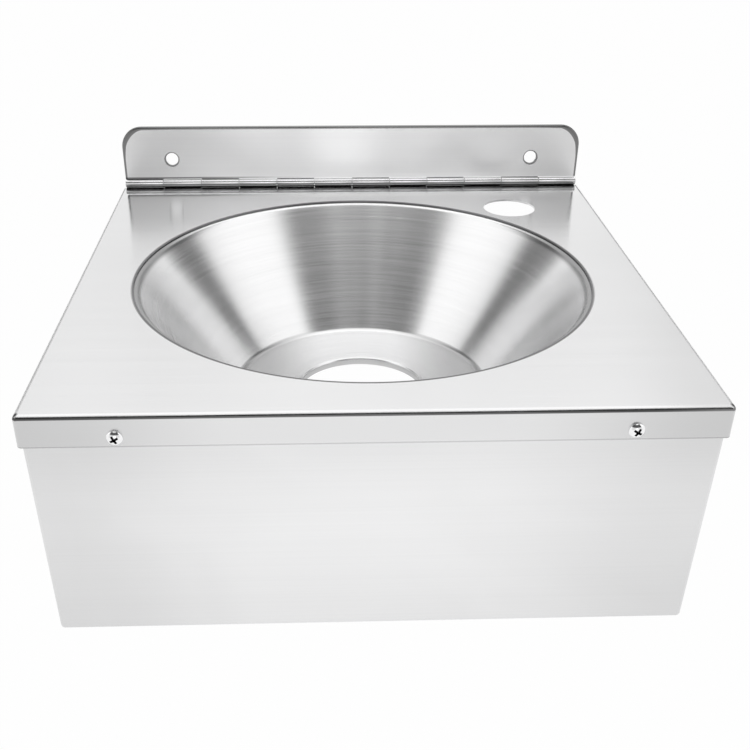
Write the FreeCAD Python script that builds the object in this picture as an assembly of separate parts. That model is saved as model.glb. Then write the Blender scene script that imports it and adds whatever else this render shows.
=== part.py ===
"""Wall-hung stainless steel hand wash basin with a hinged wall plate.

A folded square deck carries a spun conical bowl.  A three-sided folded shroud hides the waste and
is held to the deck's front flange by two screws in rivet nuts.  A continuous hinge joins the deck
to the wall plate, so the whole basin swings up on the plate that is screwed to the wall.

Millimetres.  X runs to the right, Y towards the wall, Z up.  The model is drawn with the wall at
Y = 0 and the deck's surface at Z = 0, then lowered so that the origin lies on the wall, midway
between the two wall screws.
"""
import FreeCAD, Part
import math
import os

Vector = FreeCAD.Vector
X_AXIS = Vector(1, 0, 0)
Y_AXIS = Vector(0, 1, 0)
Z_AXIS = Vector(0, 0, 1)

# ---- driving dimensions ---------------------------------------------------------------------

# Deck and shroud, folded from one gauge of sheet
body_width = 340.0            # over the deck's side flanges
body_depth = 340.0            # wall to the face of the front flange
apron_height = 132.0          # deck surface to the underside of the shroud
sheet = 1.2
fold_radius = 2.5             # outside of every fold
deck_flange = 17.2            # depth of the down-turned edges in front and at the sides
deck_rear_flange = 12.5       # depth of the edge that carries the hinge
shroud_lean = 2.5             # how far each side leans in from deck to foot
shroud_side_return = 16.0     # turned in along the wall
shroud_foot_return = 12.0     # turned in along the lower edge
mitre_gap = 0.6               # slit where two returns meet
seat_clearance = 0.3          # between pieces that slip past each other
flat_angle = 30.0             # most that one flat of a turned bend or dome turns through

# Bowl
bowl_opening = 274.0          # diameter of the deck's cut-out
bowl_from_wall = 174.0        # wall to the bowl's axis
bowl_sheet = 1.0
bowl_weld_flange = 6.0        # rim under the deck, outside the cut-out
bowl_ledge = 2.6              # rim that shows inside the cut-out
bowl_depth = 75.5             # deck surface to the outer edge of the floor
bowl_floor = 159.0            # diameter where wall and floor meet
bowl_fall = 2.0               # fall of the floor to the waste
bowl_rim_radius = 3.0
bowl_floor_radius = 7.0
waste_hole = 80.0
waste_collar = 4.5            # down-turned neck round the waste hole
waste_lip_radius = 1.8

# Tap hole
tap_hole = 36.0
tap_from_side = 60.5
tap_from_wall = 55.0

# Wall plate
plate_inset = 2.0             # how far the plate's sides stand inside the deck's
plate_height = 44.0           # deck surface to the top of the plate
plate_corner_radius = 15.0
plate_edge_radius = 1.0       # fold of the turned-back edge
wall_screw_from_side = 35.5   # in from the plate's side
wall_screw_hole = 9.0         # through the hinge leaf behind the plate
wall_hole_step = 1.0          # the plate's hole is wider all round
wall_screw_height = 20.5      # deck surface to the screws' centres
lower_screw_hole = 6.5
lower_screw_height = 26.0     # above the shroud's underside

# Continuous hinge
leaf_sheet = 1.2
wall_leaf_width = 27.0        # pin axis to the leaf's free edge
deck_leaf_width = 15.0
pin_diameter = 3.0
pin_clearance = 0.05          # all round the pin
pin_chamfer = 0.4
knuckle_count = 12
knuckle_gap = 0.3
curl_gap = 0.25               # between a curl's end and its own leaf
barrel_clearance = 0.3        # barrel to deck and to wall plate

# M4 pan-head screws and rivet nuts in the front flange
screw_from_side = 46.5
screw_drop = 12.0             # deck surface to the screws' centres
screw_diameter = 4.0
screw_length = 12.0
screw_head = 8.0
screw_head_height = 2.9
screw_head_edge = 0.9         # straight rim below the dome
screw_chamfer = 0.4           # at the tip
screw_hole_clearance = 0.25   # round the screw in the flange
recess_span = 4.4
recess_width = 1.0
recess_depth = 1.7
recess_turn_left = -29.0      # how far each screw was driven round
recess_turn_right = 31.0
nut_head = 9.0
nut_head_thickness = 0.8
nut_barrel = 6.0
nut_length = 9.0
nut_bulb = 8.0                # the part that collapses against the sheet
nut_bulb_length = 2.6
nut_clearance = 0.05          # round the screw and round the nut's barrel

# ---- derived sizes --------------------------------------------------------------------------

half_width = body_width / 2
front_y = -body_depth
deck_back_y = -leaf_sheet                       # rear flange lies against the hinge leaf
shroud_half = half_width - sheet - seat_clearance       # at the height of the deck's surface
shroud_front_y = front_y + sheet + nut_head_thickness   # the nut heads stand between
shroud_top_z = -fold_radius                     # clear of the inner bend of the deck's folds
bowl_axis = Vector(0, -bowl_from_wall, 0)
tap_place = Vector(half_width - tap_from_side, -tap_from_wall, 0)
plate_half = half_width - plate_inset
wall_leaf_half = plate_half - sheet - seat_clearance    # between the plate's turned-back sides
plate_front_y = -leaf_sheet - sheet
bore_radius = pin_diameter / 2 + pin_clearance
barrel_radius = bore_radius + leaf_sheet
hinge_y = -barrel_radius
hinge_z = barrel_radius + barrel_clearance
plate_foot_z = hinge_z + barrel_radius + barrel_clearance
knuckle_pitch = 2 * plate_half / knuckle_count
screw_x = half_width - screw_from_side
screws = {"left": (-screw_x, recess_turn_left), "right": (screw_x, recess_turn_right)}


# ---- shape helpers --------------------------------------------------------------------------

def box(low, high):
    """Box between two corners given as (x, y, z)."""
    size = [b - a for a, b in zip(low, high)]
    return Part.makeBox(*size, Vector(*low))


def folded(solid, radius, open_z):
    """Solid with every edge rounded, but for those that lie at the height open_z."""
    rounded = []
    for edge in solid.Edges:
        heights = [vertex.Point.z for vertex in edge.Vertexes]
        if not all(abs(z - open_z) < 1e-6 for z in heights):
            rounded.append(edge)
    return solid.makeFillet(radius, rounded)


def cylinder(radius, start, direction, length):
    return Part.makeCylinder(radius, length, start, direction)


def offset_path(points, distance):
    """Corners of a path of straight runs moved sideways, to the left of its direction."""
    runs = []
    for a, b in zip(points, points[1:]):
        along = (b - a).normalize()
        left = Vector(-along.y, along.x, 0) * distance
        runs.append((a + left, along))
    corners = [runs[0][0]]
    for (p, u), (q, v) in zip(runs, runs[1:]):
        turn = u.x * v.y - u.y * v.x
        step = ((q.x - p.x) * v.y - (q.y - p.y) * v.x) / turn
        corners.append(p + u * step)
    last = points[-1]
    along = runs[-1][1]
    corners.append(last + Vector(-along.y, along.x, 0) * distance)
    return corners


def arc_points(start, end, centre):
    """Points on the shorter arc between two points, so close that no flat turns too far."""
    sweep = math.degrees((start - centre).getAngle(end - centre))
    flats = math.ceil(sweep / flat_angle)
    if (start - centre).cross(end - centre).z < 0:
        sweep = -sweep
    turn = FreeCAD.Rotation(Z_AXIS, sweep / flats)
    points = [start]
    for _ in range(flats):
        points.append(centre + turn.multVec(points[-1] - centre))
    return points


def rounded_path(corners, radii):
    """Corners of a path with each inner one rounded by its radius."""
    points = [corners[0]]
    for before, corner, after, radius in zip(corners, corners[1:], corners[2:], radii):
        back = (before - corner).normalize()
        ahead = (after - corner).normalize()
        half_angle = back.getAngle(ahead) / 2
        reach = radius / math.tan(half_angle)
        centre = corner + (back + ahead).normalize() * (radius / math.sin(half_angle))
        points += arc_points(corner + back * reach, corner + ahead * reach, centre)
    return points + corners[-1:]


def bent_sheet(points, face_radii, thickness):
    """Section of a bent sheet: one face follows points, and the metal lies to the left of it."""
    corners = [Vector(x, y, 0) for x, y in points]
    back = offset_path(corners, thickness)
    back_radii = []
    for a, b, c, radius in zip(corners, corners[1:], corners[2:], face_radii):
        turn = (b - a).cross(c - b).z
        back_radii.append(radius - thickness if turn > 0 else radius + thickness)
    outline = rounded_path(corners, face_radii) + rounded_path(back, back_radii)[::-1]
    return Part.Face(Part.makePolygon(outline + outline[:1]))


def spun(section, axis_point):
    """Section drawn as (radius, height), turned once round a vertical axis."""
    upright = section.copy()
    upright.rotate(Vector(0, 0, 0), X_AXIS, 90)
    solid = upright.revolve(Vector(0, 0, 0), Z_AXIS, 360)
    solid.translate(axis_point)
    return solid


def turned(profile, place):
    """Closed profile of (radius, distance behind the front flange), turned round a screw axis."""
    corners = [Vector(radius, depth, 0) for radius, depth in profile]
    section = Part.Face(Part.makePolygon(corners + corners[:1]))
    solid = section.revolve(Vector(0, 0, 0), Y_AXIS, 360)
    solid.translate(place)
    return solid


# ---- deck -----------------------------------------------------------------------------------

def screw_place(x):
    """Point on the front flange's face, on the axis of the screw at x."""
    return Vector(x, front_y, -screw_drop)


def make_deck():
    """Square top with four down-turned edges, closed and dressed at the corners."""
    blank = box((-half_width, front_y, -deck_flange), (half_width, deck_back_y, 0))
    tray = folded(blank, fold_radius, -deck_flange)
    open_z = -2 * deck_flange
    hollow = box(
        (-half_width + sheet, front_y + sheet, open_z),
        (half_width - sheet, deck_back_y - sheet, -sheet),
    )
    inside = folded(hollow, fold_radius - sheet, open_z)
    rear_edge = box(
        (-half_width + fold_radius, deck_back_y - fold_radius, open_z),
        (half_width - fold_radius, 0, -deck_rear_flange),
    )
    below = Vector(0, 0, -2 * sheet)
    cuts = [
        inside,
        rear_edge,
        cylinder(bowl_opening / 2, bowl_axis + below, Z_AXIS, 3 * sheet),
        cylinder(tap_hole / 2, tap_place + below, Z_AXIS, 3 * sheet),
    ]
    hole_radius = screw_diameter / 2 + screw_hole_clearance
    for x, _ in screws.values():
        start = screw_place(x) - Y_AXIS * sheet
        cuts.append(cylinder(hole_radius, start, Y_AXIS, 3 * sheet))
    return tray.cut(cuts)


# ---- bowl -----------------------------------------------------------------------------------

def make_bowl():
    """Spun cone with a rim welded under the deck and a necked waste hole in its dished floor."""
    rim_z = -sheet
    opening_radius = bowl_opening / 2
    waste_radius = waste_hole / 2
    waste_z = -bowl_depth - bowl_fall
    section = bent_sheet(
        [
            (opening_radius + bowl_weld_flange, rim_z),
            (opening_radius - bowl_ledge, rim_z),
            (bowl_floor / 2, -bowl_depth),
            (waste_radius, waste_z),
            (waste_radius, waste_z - waste_collar),
        ],
        [bowl_rim_radius, bowl_floor_radius, waste_lip_radius],
        bowl_sheet,
    )
    return spun(section, bowl_axis)


# ---- shroud ---------------------------------------------------------------------------------

def shroud_side_x(z):
    """Outside of the shroud's right side at this height."""
    return shroud_half + shroud_lean * z / apron_height


def leaning_box(inset, front, back, foot_z, top_z):
    """Box whose two sides lean in towards the foot; inset brings them in from the outside."""
    corners = []
    for side, z in ((-1, foot_z), (1, foot_z), (1, top_z), (-1, top_z)):
        corners.append(Vector(side * (shroud_side_x(z) - inset), front, z))
    return Part.Face(Part.makePolygon(corners + corners[:1])).extrude(Y_AXIS * (back - front))


def mitre_slit(side):
    """Slit at a front corner, where the foot returns of front and side meet at 45 degrees."""
    length = (shroud_foot_return + fold_radius) * math.sqrt(2)
    slit = box(
        (0, -mitre_gap / 2, -apron_height - sheet),
        (length, mitre_gap / 2, -apron_height + fold_radius / 2),
    )
    slit.rotate(Vector(0, 0, 0), Z_AXIS, 45 if side < 0 else 135)
    corner_x = shroud_side_x(-apron_height) - fold_radius
    corner = Vector(side * corner_x, shroud_front_y + fold_radius, 0)
    slit.translate(corner)
    return slit


def rear_corner_relief(side):
    """Open corner where the foot return and the wall return of one side stop short."""
    inner_x = side * (shroud_half - shroud_side_return - fold_radius)
    outer_x = side * (shroud_side_x(-apron_height) - fold_radius)
    low_x, high_x = sorted((inner_x, outer_x))
    return box(
        (low_x, -fold_radius - mitre_gap, -apron_height - sheet),
        (high_x, sheet, -apron_height + fold_radius + mitre_gap),
    )


def make_shroud():
    """Front and two sides in one sheet, with returns at the foot and along the wall."""
    foot_z = -apron_height
    lower_screw_z = foot_z + lower_screw_height
    flat_edge = shroud_side_x(lower_screw_z) - fold_radius
    lower_screw_x = (shroud_half - shroud_side_return + flat_edge) / 2
    above_z = shroud_top_z + deck_flange
    shell = folded(leaning_box(0, shroud_front_y, 0, foot_z, above_z), fold_radius, above_z)
    inside_top = above_z + deck_flange
    hollow = leaning_box(sheet, shroud_front_y + sheet, -sheet, foot_z + sheet, inside_top)
    inside = folded(hollow, fold_radius - sheet, inside_top)
    foot_half = shroud_side_x(foot_z) - shroud_foot_return
    wall_half = shroud_half - shroud_side_return
    notch_y = deck_back_y - fold_radius - seat_clearance
    notch_z = -deck_flange - seat_clearance
    cuts = [
        inside,
        box((-body_width, front_y, shroud_top_z), (body_width, sheet, inside_top)),
        box(
            (-foot_half, shroud_front_y + shroud_foot_return, foot_z - sheet),
            (foot_half, sheet, foot_z + fold_radius),
        ),
        box((-wall_half, -fold_radius, foot_z - sheet), (wall_half, sheet, 0)),
        box((-half_width, notch_y, notch_z), (half_width, sheet, 0)),
    ]
    for side in (-1, 1):
        cuts.append(mitre_slit(side))
        cuts.append(rear_corner_relief(side))
        hole = Vector(side * lower_screw_x, -2 * sheet, lower_screw_z)
        cuts.append(cylinder(lower_screw_hole / 2, hole, Y_AXIS, 3 * sheet))
    for x, _ in screws.values():
        start = screw_place(x)
        cuts.append(cylinder(nut_barrel / 2 + nut_clearance, start, Y_AXIS, 4 * sheet))
    return shell.cut(cuts)


# ---- wall plate -----------------------------------------------------------------------------

def plate_outline(inset, foot_z):
    """Upright face with two rounded upper corners, drawn at Y = 0."""
    half = plate_half - inset
    top = plate_height - inset
    radius = plate_corner_radius - inset
    across = radius * (1 - math.sqrt(0.5))
    low_left = Vector(-half, 0, foot_z)
    low_right = Vector(half, 0, foot_z)
    left_end = Vector(-half, 0, top - radius)
    right_end = Vector(half, 0, top - radius)
    top_left = Vector(-half + radius, 0, top)
    top_right = Vector(half - radius, 0, top)
    edges = [
        Part.LineSegment(low_left, left_end).toShape(),
        Part.Arc(left_end, Vector(-half + across, 0, top - across), top_left).toShape(),
        Part.LineSegment(top_left, top_right).toShape(),
        Part.Arc(top_right, Vector(half - across, 0, top - across), right_end).toShape(),
        Part.LineSegment(right_end, low_right).toShape(),
        Part.LineSegment(low_right, low_left).toShape(),
    ]
    return Part.Face(Part.Wire(edges))


def make_wall_plate():
    """Upstand with its top and sides turned back to the wall and two holes for wall screws."""
    blank = plate_outline(0, plate_foot_z)
    blank.translate(Vector(0, plate_front_y, 0))
    solid = blank.extrude(Y_AXIS * -plate_front_y)
    front_edges = []
    for edge in solid.Edges:
        in_front = all(abs(vertex.Point.y - plate_front_y) < 1e-6 for vertex in edge.Vertexes)
        along_foot = all(abs(vertex.Point.z - plate_foot_z) < 1e-6 for vertex in edge.Vertexes)
        if in_front and not along_foot:
            front_edges.append(edge)
    solid = solid.makeFillet(plate_edge_radius, front_edges)
    pocket = plate_outline(sheet, plate_foot_z - sheet)
    pocket.translate(Vector(0, -leaf_sheet, 0))
    holes = wall_screw_holes(wall_screw_hole / 2 + wall_hole_step)
    return solid.cut([pocket.extrude(Y_AXIS * 2 * leaf_sheet)] + holes)


def wall_screw_holes(radius):
    """Cutters for the two wall screws, right through plate and leaf."""
    holes = []
    for side in (-1, 1):
        x = side * (plate_half - wall_screw_from_side)
        start = Vector(x, plate_front_y - sheet, wall_screw_height)
        holes.append(cylinder(radius, start, Y_AXIS, leaf_sheet + 3 * sheet))
    return holes


# ---- continuous hinge -----------------------------------------------------------------------

def make_knuckle(first_x, up):
    """One curl: it leaves the leaf at the back, runs round the pin and stops short of the leaf.

    Drawn round the pin axis at the origin; up is 1 for a leaf that rises and -1 for one that hangs.
    """
    length = knuckle_pitch - knuckle_gap
    start = Vector(first_x, 0, 0)
    tube = cylinder(barrel_radius, start, X_AXIS, length)
    bore = cylinder(bore_radius, start, X_AXIS, length)
    last_x = first_x + length
    leaf_foot = barrel_radius + barrel_clearance
    mouth_y = bore_radius - curl_gap
    low_z, high_z = sorted((0, up * barrel_radius))
    mouth = box((first_x, mouth_y, low_z), (last_x, barrel_radius, high_z))
    low_z, high_z = sorted((0, up * leaf_foot))
    root = box((first_x, bore_radius, low_z), (last_x, barrel_radius, high_z))
    return tube.cut([bore, mouth]).fuse(root)


def make_leaf(first_knuckle, up, width, half_span):
    """Leaf of the hinge with every second knuckle, counted from the left."""
    near_z = up * (barrel_radius + barrel_clearance)
    low_z, high_z = sorted((near_z, up * width))
    leaf = box((-half_span, bore_radius, low_z), (half_span, barrel_radius, high_z))
    knuckles = []
    for number in range(first_knuckle, knuckle_count, 2):
        first_x = -plate_half + number * knuckle_pitch + knuckle_gap / 2
        knuckles.append(make_knuckle(first_x, up))
    leaf = leaf.fuse(knuckles).removeSplitter()
    leaf.translate(Vector(0, hinge_y, hinge_z))
    return leaf


def make_pin():
    """Wire as long as the hinge, with broken edges."""
    start = Vector(-plate_half, hinge_y, hinge_z)
    pin = cylinder(pin_diameter / 2, start, X_AXIS, 2 * plate_half)
    rims = [edge for edge in pin.Edges if edge.Closed]
    return pin.makeChamfer(pin_chamfer, rims)


# ---- fasteners ------------------------------------------------------------------------------

def make_screw(x, recess_turn):
    """Pan-head screw with a cross recess; its head bears on the front flange."""
    head_radius = screw_head / 2
    shank_radius = screw_diameter / 2
    dome_height = screw_head_height - screw_head_edge
    dome_radius = (head_radius ** 2 + dome_height ** 2) / (2 * dome_height)
    crown = Vector(0, -screw_head_height, 0)
    rim = Vector(head_radius, -screw_head_edge, 0)
    dome = arc_points(crown, rim, crown + Y_AXIS * dome_radius)
    profile = [(point.x, point.y) for point in dome] + [
        (head_radius, 0),
        (shank_radius, 0),
        (shank_radius, screw_length - screw_chamfer),
        (shank_radius - screw_chamfer, screw_length),
        (0, screw_length),
    ]
    place = screw_place(x)
    bars = []
    for angle in (recess_turn, recess_turn + 90):
        bar = box(
            (-recess_span / 2, -screw_head_height - sheet, -recess_width / 2),
            (recess_span / 2, recess_depth - screw_head_height, recess_width / 2),
        )
        bar.rotate(Vector(0, 0, 0), Y_AXIS, angle)
        bar.translate(place)
        bars.append(bar)
    return turned(profile, place).cut(bars)


def make_rivet_nut(x):
    """Rivet nut set in the shroud: a thin head outside, the collapsed bulb and barrel inside."""
    bore = screw_diameter / 2 + nut_clearance
    barrel = nut_barrel / 2
    head_y = sheet
    sheet_y = head_y + nut_head_thickness
    bulb_y = sheet_y + sheet
    barrel_y = bulb_y + nut_bulb_length
    end_y = sheet_y + nut_length
    profile = [
        (bore, head_y),
        (nut_head / 2, head_y),
        (nut_head / 2, sheet_y),
        (barrel, sheet_y),
        (barrel, bulb_y),
        (nut_bulb / 2, bulb_y),
        (barrel, barrel_y),
        (barrel, end_y),
        (bore, end_y),
    ]
    return turned(profile, screw_place(x))


# ---- build ----------------------------------------------------------------------------------

nodes = {
    "deck": make_deck(),
    "bowl": make_bowl(),
    "shroud": make_shroud(),
    "wall_plate": make_wall_plate(),
    "hinge_wall_leaf": make_leaf(0, 1, wall_leaf_width, wall_leaf_half).cut(
        wall_screw_holes(wall_screw_hole / 2)
    ),
    "hinge_deck_leaf": make_leaf(1, -1, deck_leaf_width, plate_half),
    "hinge_pin": make_pin(),
}
for side, (x, turn) in screws.items():
    nodes[f"shroud_screw_{side}"] = make_screw(x, turn)
    nodes[f"rivet_nut_{side}"] = make_rivet_nut(x)

os.makedirs("parts", exist_ok=True)
for name, shape in nodes.items():
    shape.translate(Vector(0, 0, -wall_screw_height))
    shape.exportStep(f"parts/{name}.step")
    size = shape.optimalBoundingBox(False)
    print(
        f"{name}: {len(shape.Solids)} solid(s), valid {shape.isValid()},"
        f" {shape.Volume:.1f} mm3, {size.XLength:.1f} x {size.YLength:.1f} x {size.ZLength:.1f} mm"
    )
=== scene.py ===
# %% [markdown]
# # A stainless steel hand wash sink
#
# The sink is folded, spun and brushed sheet steel.  Its shapes are simple, so almost everything that
# the eye reads as steel comes from three things: true bends at the edges, a grain that follows how
# each piece was made, and a studio with something bright and something dark to reflect.  The lesson
# takes them in that order.

# %% Load the measured frame
import bpy
import bmesh
import math
from mathutils import Matrix, Vector
from mathutils.geometry import tessellate_polygon


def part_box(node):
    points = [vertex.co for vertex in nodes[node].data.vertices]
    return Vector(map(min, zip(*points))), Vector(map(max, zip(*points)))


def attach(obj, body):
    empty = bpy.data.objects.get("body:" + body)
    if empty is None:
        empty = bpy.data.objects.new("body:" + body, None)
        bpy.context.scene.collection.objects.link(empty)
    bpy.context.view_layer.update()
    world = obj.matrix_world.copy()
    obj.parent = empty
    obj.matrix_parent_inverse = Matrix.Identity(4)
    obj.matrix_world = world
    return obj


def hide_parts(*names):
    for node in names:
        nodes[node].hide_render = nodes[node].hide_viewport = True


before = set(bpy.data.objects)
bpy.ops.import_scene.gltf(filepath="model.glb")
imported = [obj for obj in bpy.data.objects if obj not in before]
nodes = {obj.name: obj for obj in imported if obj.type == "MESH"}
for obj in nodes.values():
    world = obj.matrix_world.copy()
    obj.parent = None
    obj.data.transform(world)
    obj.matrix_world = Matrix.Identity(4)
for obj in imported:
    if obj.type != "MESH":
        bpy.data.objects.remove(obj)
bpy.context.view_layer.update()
MM = 0.001
print("pieces in the frame:", sorted(nodes))

# %% [markdown]
# Sizes come from the frame wherever a piece can be measured, so the looks follow the part.  The
# deck's top is the height that the sink is used at, and the bowl's box gives the middle of the bowl.

# %% Measure the pieces
deck_low, deck_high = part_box("deck")
bowl_low, bowl_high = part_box("bowl")
plate_low, plate_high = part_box("wall_plate")
pin_low, pin_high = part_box("hinge_pin")
shroud_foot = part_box("shroud")[0].z
deck_top = deck_high.z
bowl_centre = (bowl_low + bowl_high) / 2
print("deck top", round(deck_top, 4), "bowl centre", tuple(round(c, 4) for c in bowl_centre))

# %% [markdown]
# ## Tools for node trees
#
# A material is a small graph of nodes, and so is a shape that follows a rule.  These helpers put a
# node in a tree with its settings and its inputs, so that each finish and each shape below reads as a
# short list.  An input takes the output of another node or a plain value.

# %% Helpers for all trees
def feed(tree, target, value):
    """Joins another node's output to this input, or sets the input to a plain value."""
    if isinstance(value, bpy.types.NodeSocket):
        tree.links.new(value, target)
    else:
        target.default_value = value


def put(tree, kind, sockets=(), **settings):
    """A node with its settings, and its inputs fed by their number or name."""
    node = tree.nodes.new(kind)
    for name, value in settings.items():
        setattr(node, name, value)
    for name, value in dict(sockets).items():
        feed(tree, node.inputs[name], value)
    return node


def made(tree, kind, sockets=(), **settings):
    """What such a node makes: its first output."""
    return put(tree, kind, sockets, **settings).outputs[0]


def math_node(tree, operation, *values, clamp=False):
    return made(tree, "ShaderNodeMath", enumerate(values), operation=operation, use_clamp=clamp)


def times(tree, a, b):
    return math_node(tree, "MULTIPLY", a, b)


def minus(tree, a, b):
    return math_node(tree, "SUBTRACT", a, b)


def vector_math(tree, operation, *values, output=0):
    node = put(tree, "ShaderNodeVectorMath", enumerate(values), operation=operation)
    return node.outputs[output]


def ramp(tree, value, low, high, to_low=0.0, to_high=1.0, smooth=True):
    """Turns low..high into to_low..to_high and holds it there outside."""
    return made(tree, "ShaderNodeMapRange", {
        "Value": value, "From Min": low, "From Max": high, "To Min": to_low, "To Max": to_high,
    }, clamp=True, interpolation_type="SMOOTHSTEP" if smooth else "LINEAR")


def new_tree(kind, name, inputs, outputs):
    """A tree with named sockets.  An input is given by its value, or by its type where it has none."""
    tree = bpy.data.node_groups.new(name, kind)
    for label, value in inputs.items():
        type_name = value if isinstance(value, str) else type(value).__name__.capitalize()
        socket = tree.interface.new_socket(label, in_out="INPUT", socket_type="NodeSocket" + type_name)
        if type_name != value:
            socket.default_value = value
    for label, type_name in outputs.items():
        tree.interface.new_socket(label, in_out="OUTPUT", socket_type="NodeSocket" + type_name)
    start, end = tree.nodes.new("NodeGroupInput"), tree.nodes.new("NodeGroupOutput")
    return tree, {label: start.outputs[label] for label in inputs}, end.inputs


print("helpers for node trees are ready")

# %% [markdown]
# ## Tools for geometry nodes
#
# The bowl, the hinge curls, the screws and the weld bead all follow a rule, so each is a node tree
# with named sizes instead of a mesh pushed about by hand.  A modifier runs the tree on an empty
# object.  Its inputs are set by the socket's identifier, because the name is only a label.  The
# result is copied out as a plain mesh, which an exporter can read, and the modifier is left behind.

# %% Helpers for geometry trees
def vector_of(tree, x, y, z=0.0):
    return made(tree, "ShaderNodeCombineXYZ", {0: x, 1: y, 2: z})


def turn_about(tree, axis, angle):
    return made(tree, "FunctionNodeAxisAngleToRotation", {"Axis": axis, "Angle": angle})


def pick(tree, data_type, values):
    """A different value at each point, taken in order: point 0 gets the first, and so on."""
    index = made(tree, "GeometryNodeInputIndex")
    node = put(tree, "GeometryNodeIndexSwitch", {"Index": index}, data_type=data_type)
    while len(node.index_switch_items) < len(values):
        node.index_switch_items.new()
    for socket, value in zip(list(node.inputs)[1:], values):
        feed(tree, socket, value)
    return node.outputs[0]


def rounded(tree, curve, radius, steps):
    """The curve with this many points in each rounded corner."""
    return made(tree, "GeometryNodeFilletCurve", {"Curve": curve, "Count": steps, "Radius": radius},
                mode="POLY")


def swept(tree, path, profile, more=()):
    return made(tree, "GeometryNodeCurveToMesh", {"Curve": path, "Profile Curve": profile, **dict(more)})


def instances(tree, points, instance, more=()):
    return made(tree, "GeometryNodeInstanceOnPoints", {
        "Points": points, "Instance": instance, **dict(more)})


def moved(tree, shape, more):
    return made(tree, "GeometryNodeTransform", {"Geometry": shape, **more})


def loose_line(tree, count):
    """A curve of this many points, still to be placed."""
    points = made(tree, "GeometryNodeMeshLine", {"Count": count})
    return made(tree, "GeometryNodeMeshToCurve", {"Mesh": points})


def row_of(tree, count, first, step, height=0.0):
    """Points in a row along X, from the first x on."""
    start, offset = vector_of(tree, first, height), vector_of(tree, step, 0.0)
    return made(tree, "GeometryNodeMeshLine", {
        "Count": count, "Start Location": start, "Offset": offset})


def polyline(tree, corners, bends=None, steps=8):
    """A curve through corners, each an (x, y) of sockets or numbers, rounded by its own bend."""
    line = loose_line(tree, len(corners))
    places = pick(tree, "VECTOR", [vector_of(tree, x, y) for x, y in corners])
    line = made(tree, "GeometryNodeSetPosition", {"Geometry": line, "Position": places})
    return rounded(tree, line, pick(tree, "FLOAT", bends), steps) if bends else line


def circle_of(tree, radius, steps):
    return made(tree, "GeometryNodeCurvePrimitiveCircle", {"Resolution": steps, "Radius": radius})


def rectangle_of(tree, width, height):
    return made(tree, "GeometryNodeCurvePrimitiveQuadrilateral", {"Width": width, "Height": height})


def revolved(tree, profile, path_radius, steps):
    """A profile of (radius - path_radius, depth), turned round the Z axis; depth runs downwards."""
    return swept(tree, circle_of(tree, path_radius, steps), profile)


def joined(tree, *parts):
    node = put(tree, "GeometryNodeJoinGeometry")
    for part in parts:
        feed(tree, node.inputs[0], part)
    return node.outputs[0]


def merged(tree, shape):
    return made(tree, "GeometryNodeMergeByDistance", {"Geometry": shape, "Distance": 1e-6})


def close_tree(tree, shape, finish, target):
    """Every tree ends the same way: real geometry, and its material."""
    shape = made(tree, "GeometryNodeRealizeInstances", {"Geometry": shape})
    shape = made(tree, "GeometryNodeSetShadeSmooth", {"Geometry": shape})
    shape = made(tree, "GeometryNodeSetMaterial", {"Geometry": shape, "Material": finish})
    feed(tree, target["Geometry"], shape)
    return tree


def geometry_tree(name, inputs):
    return new_tree("GeometryNodeTree", name, inputs, {"Geometry": "Geometry"})


def face_outwards(mesh):
    """Merges doubled points, then turns every face to the outside of its closed shell."""
    shape = bmesh.new()
    shape.from_mesh(mesh)
    bmesh.ops.remove_doubles(shape, verts=shape.verts, dist=1e-6)
    bmesh.ops.recalc_face_normals(shape, faces=shape.faces)
    shape.to_mesh(mesh)
    shape.free()


def new_object(name, data):
    item = bpy.data.objects.new(name, data)
    bpy.context.scene.collection.objects.link(item)
    return item


def grow(name, tree, values, place=(0.0, 0.0, 0.0), sharp_degrees=32.0, thickness=None):
    """Runs a tree with these values and keeps the result as a plain mesh in its place."""
    seed = new_object(name + "_seed", bpy.data.meshes.new(name + "_seed"))
    modifier = seed.modifiers.new("tree", "NODES")
    modifier.node_group = tree
    for item in tree.interface.items_tree:
        if item.in_out == "INPUT" and item.name in values:
            modifier[item.identifier] = values[item.name]
    if thickness:
        wall = seed.modifiers.new("wall", "SOLIDIFY")
        wall.thickness = thickness
        wall.offset = -1.0
        wall.use_even_offset = True
    depsgraph = bpy.context.evaluated_depsgraph_get()
    mesh = bpy.data.meshes.new_from_object(seed.evaluated_get(depsgraph))
    bpy.data.objects.remove(seed)
    mesh.transform(Matrix.Translation(Vector(place)))
    face_outwards(mesh)
    mesh.set_sharp_from_angle(angle=math.radians(sharp_degrees))
    mesh.name = name
    print(name, "has", len(mesh.polygons), "faces")
    return new_object(name, mesh)


def stand_in(piece, body, slot_name, *cad_nodes):
    """The piece moves with a body and stands for CAD nodes, which are hidden.  Its slot name is not used.
    """
    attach(piece, body)
    if cad_nodes:
        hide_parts(*cad_nodes)


print("helpers for geometry trees are ready")

# %% [markdown]
# ## The grain
#
# Brushed steel has been drawn under an abrasive belt, so it carries thousands of fine parallel
# scratches.  One noise texture gives them, once its coordinates are squeezed across the grain and
# stretched along it.  A coarser one gives the broad bands that a belt leaves.  The group hands out
# masks only, and each finish decides what to do with them.

# %% Grain group
def build_grain():
    tree, given, end = new_tree("ShaderNodeTree", "brushed_grain",
                                {"Vector": "Vector", "Lines": 1.0, "Bands": 0.1},
                                {"Fine": "Float", "Band": "Float"})
    for socket, output, detail in (("Lines", "Fine", 3.0), ("Bands", "Band", 2.0)):
        feed(tree, end[output], made(tree, "ShaderNodeTexNoise", {
            "Vector": given["Vector"], "Scale": given[socket], "Detail": detail, "Roughness": 0.6}))
    return tree


grain_group = build_grain()
print("group:", grain_group.name, [s.name for s in grain_group.interface.items_tree])

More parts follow.
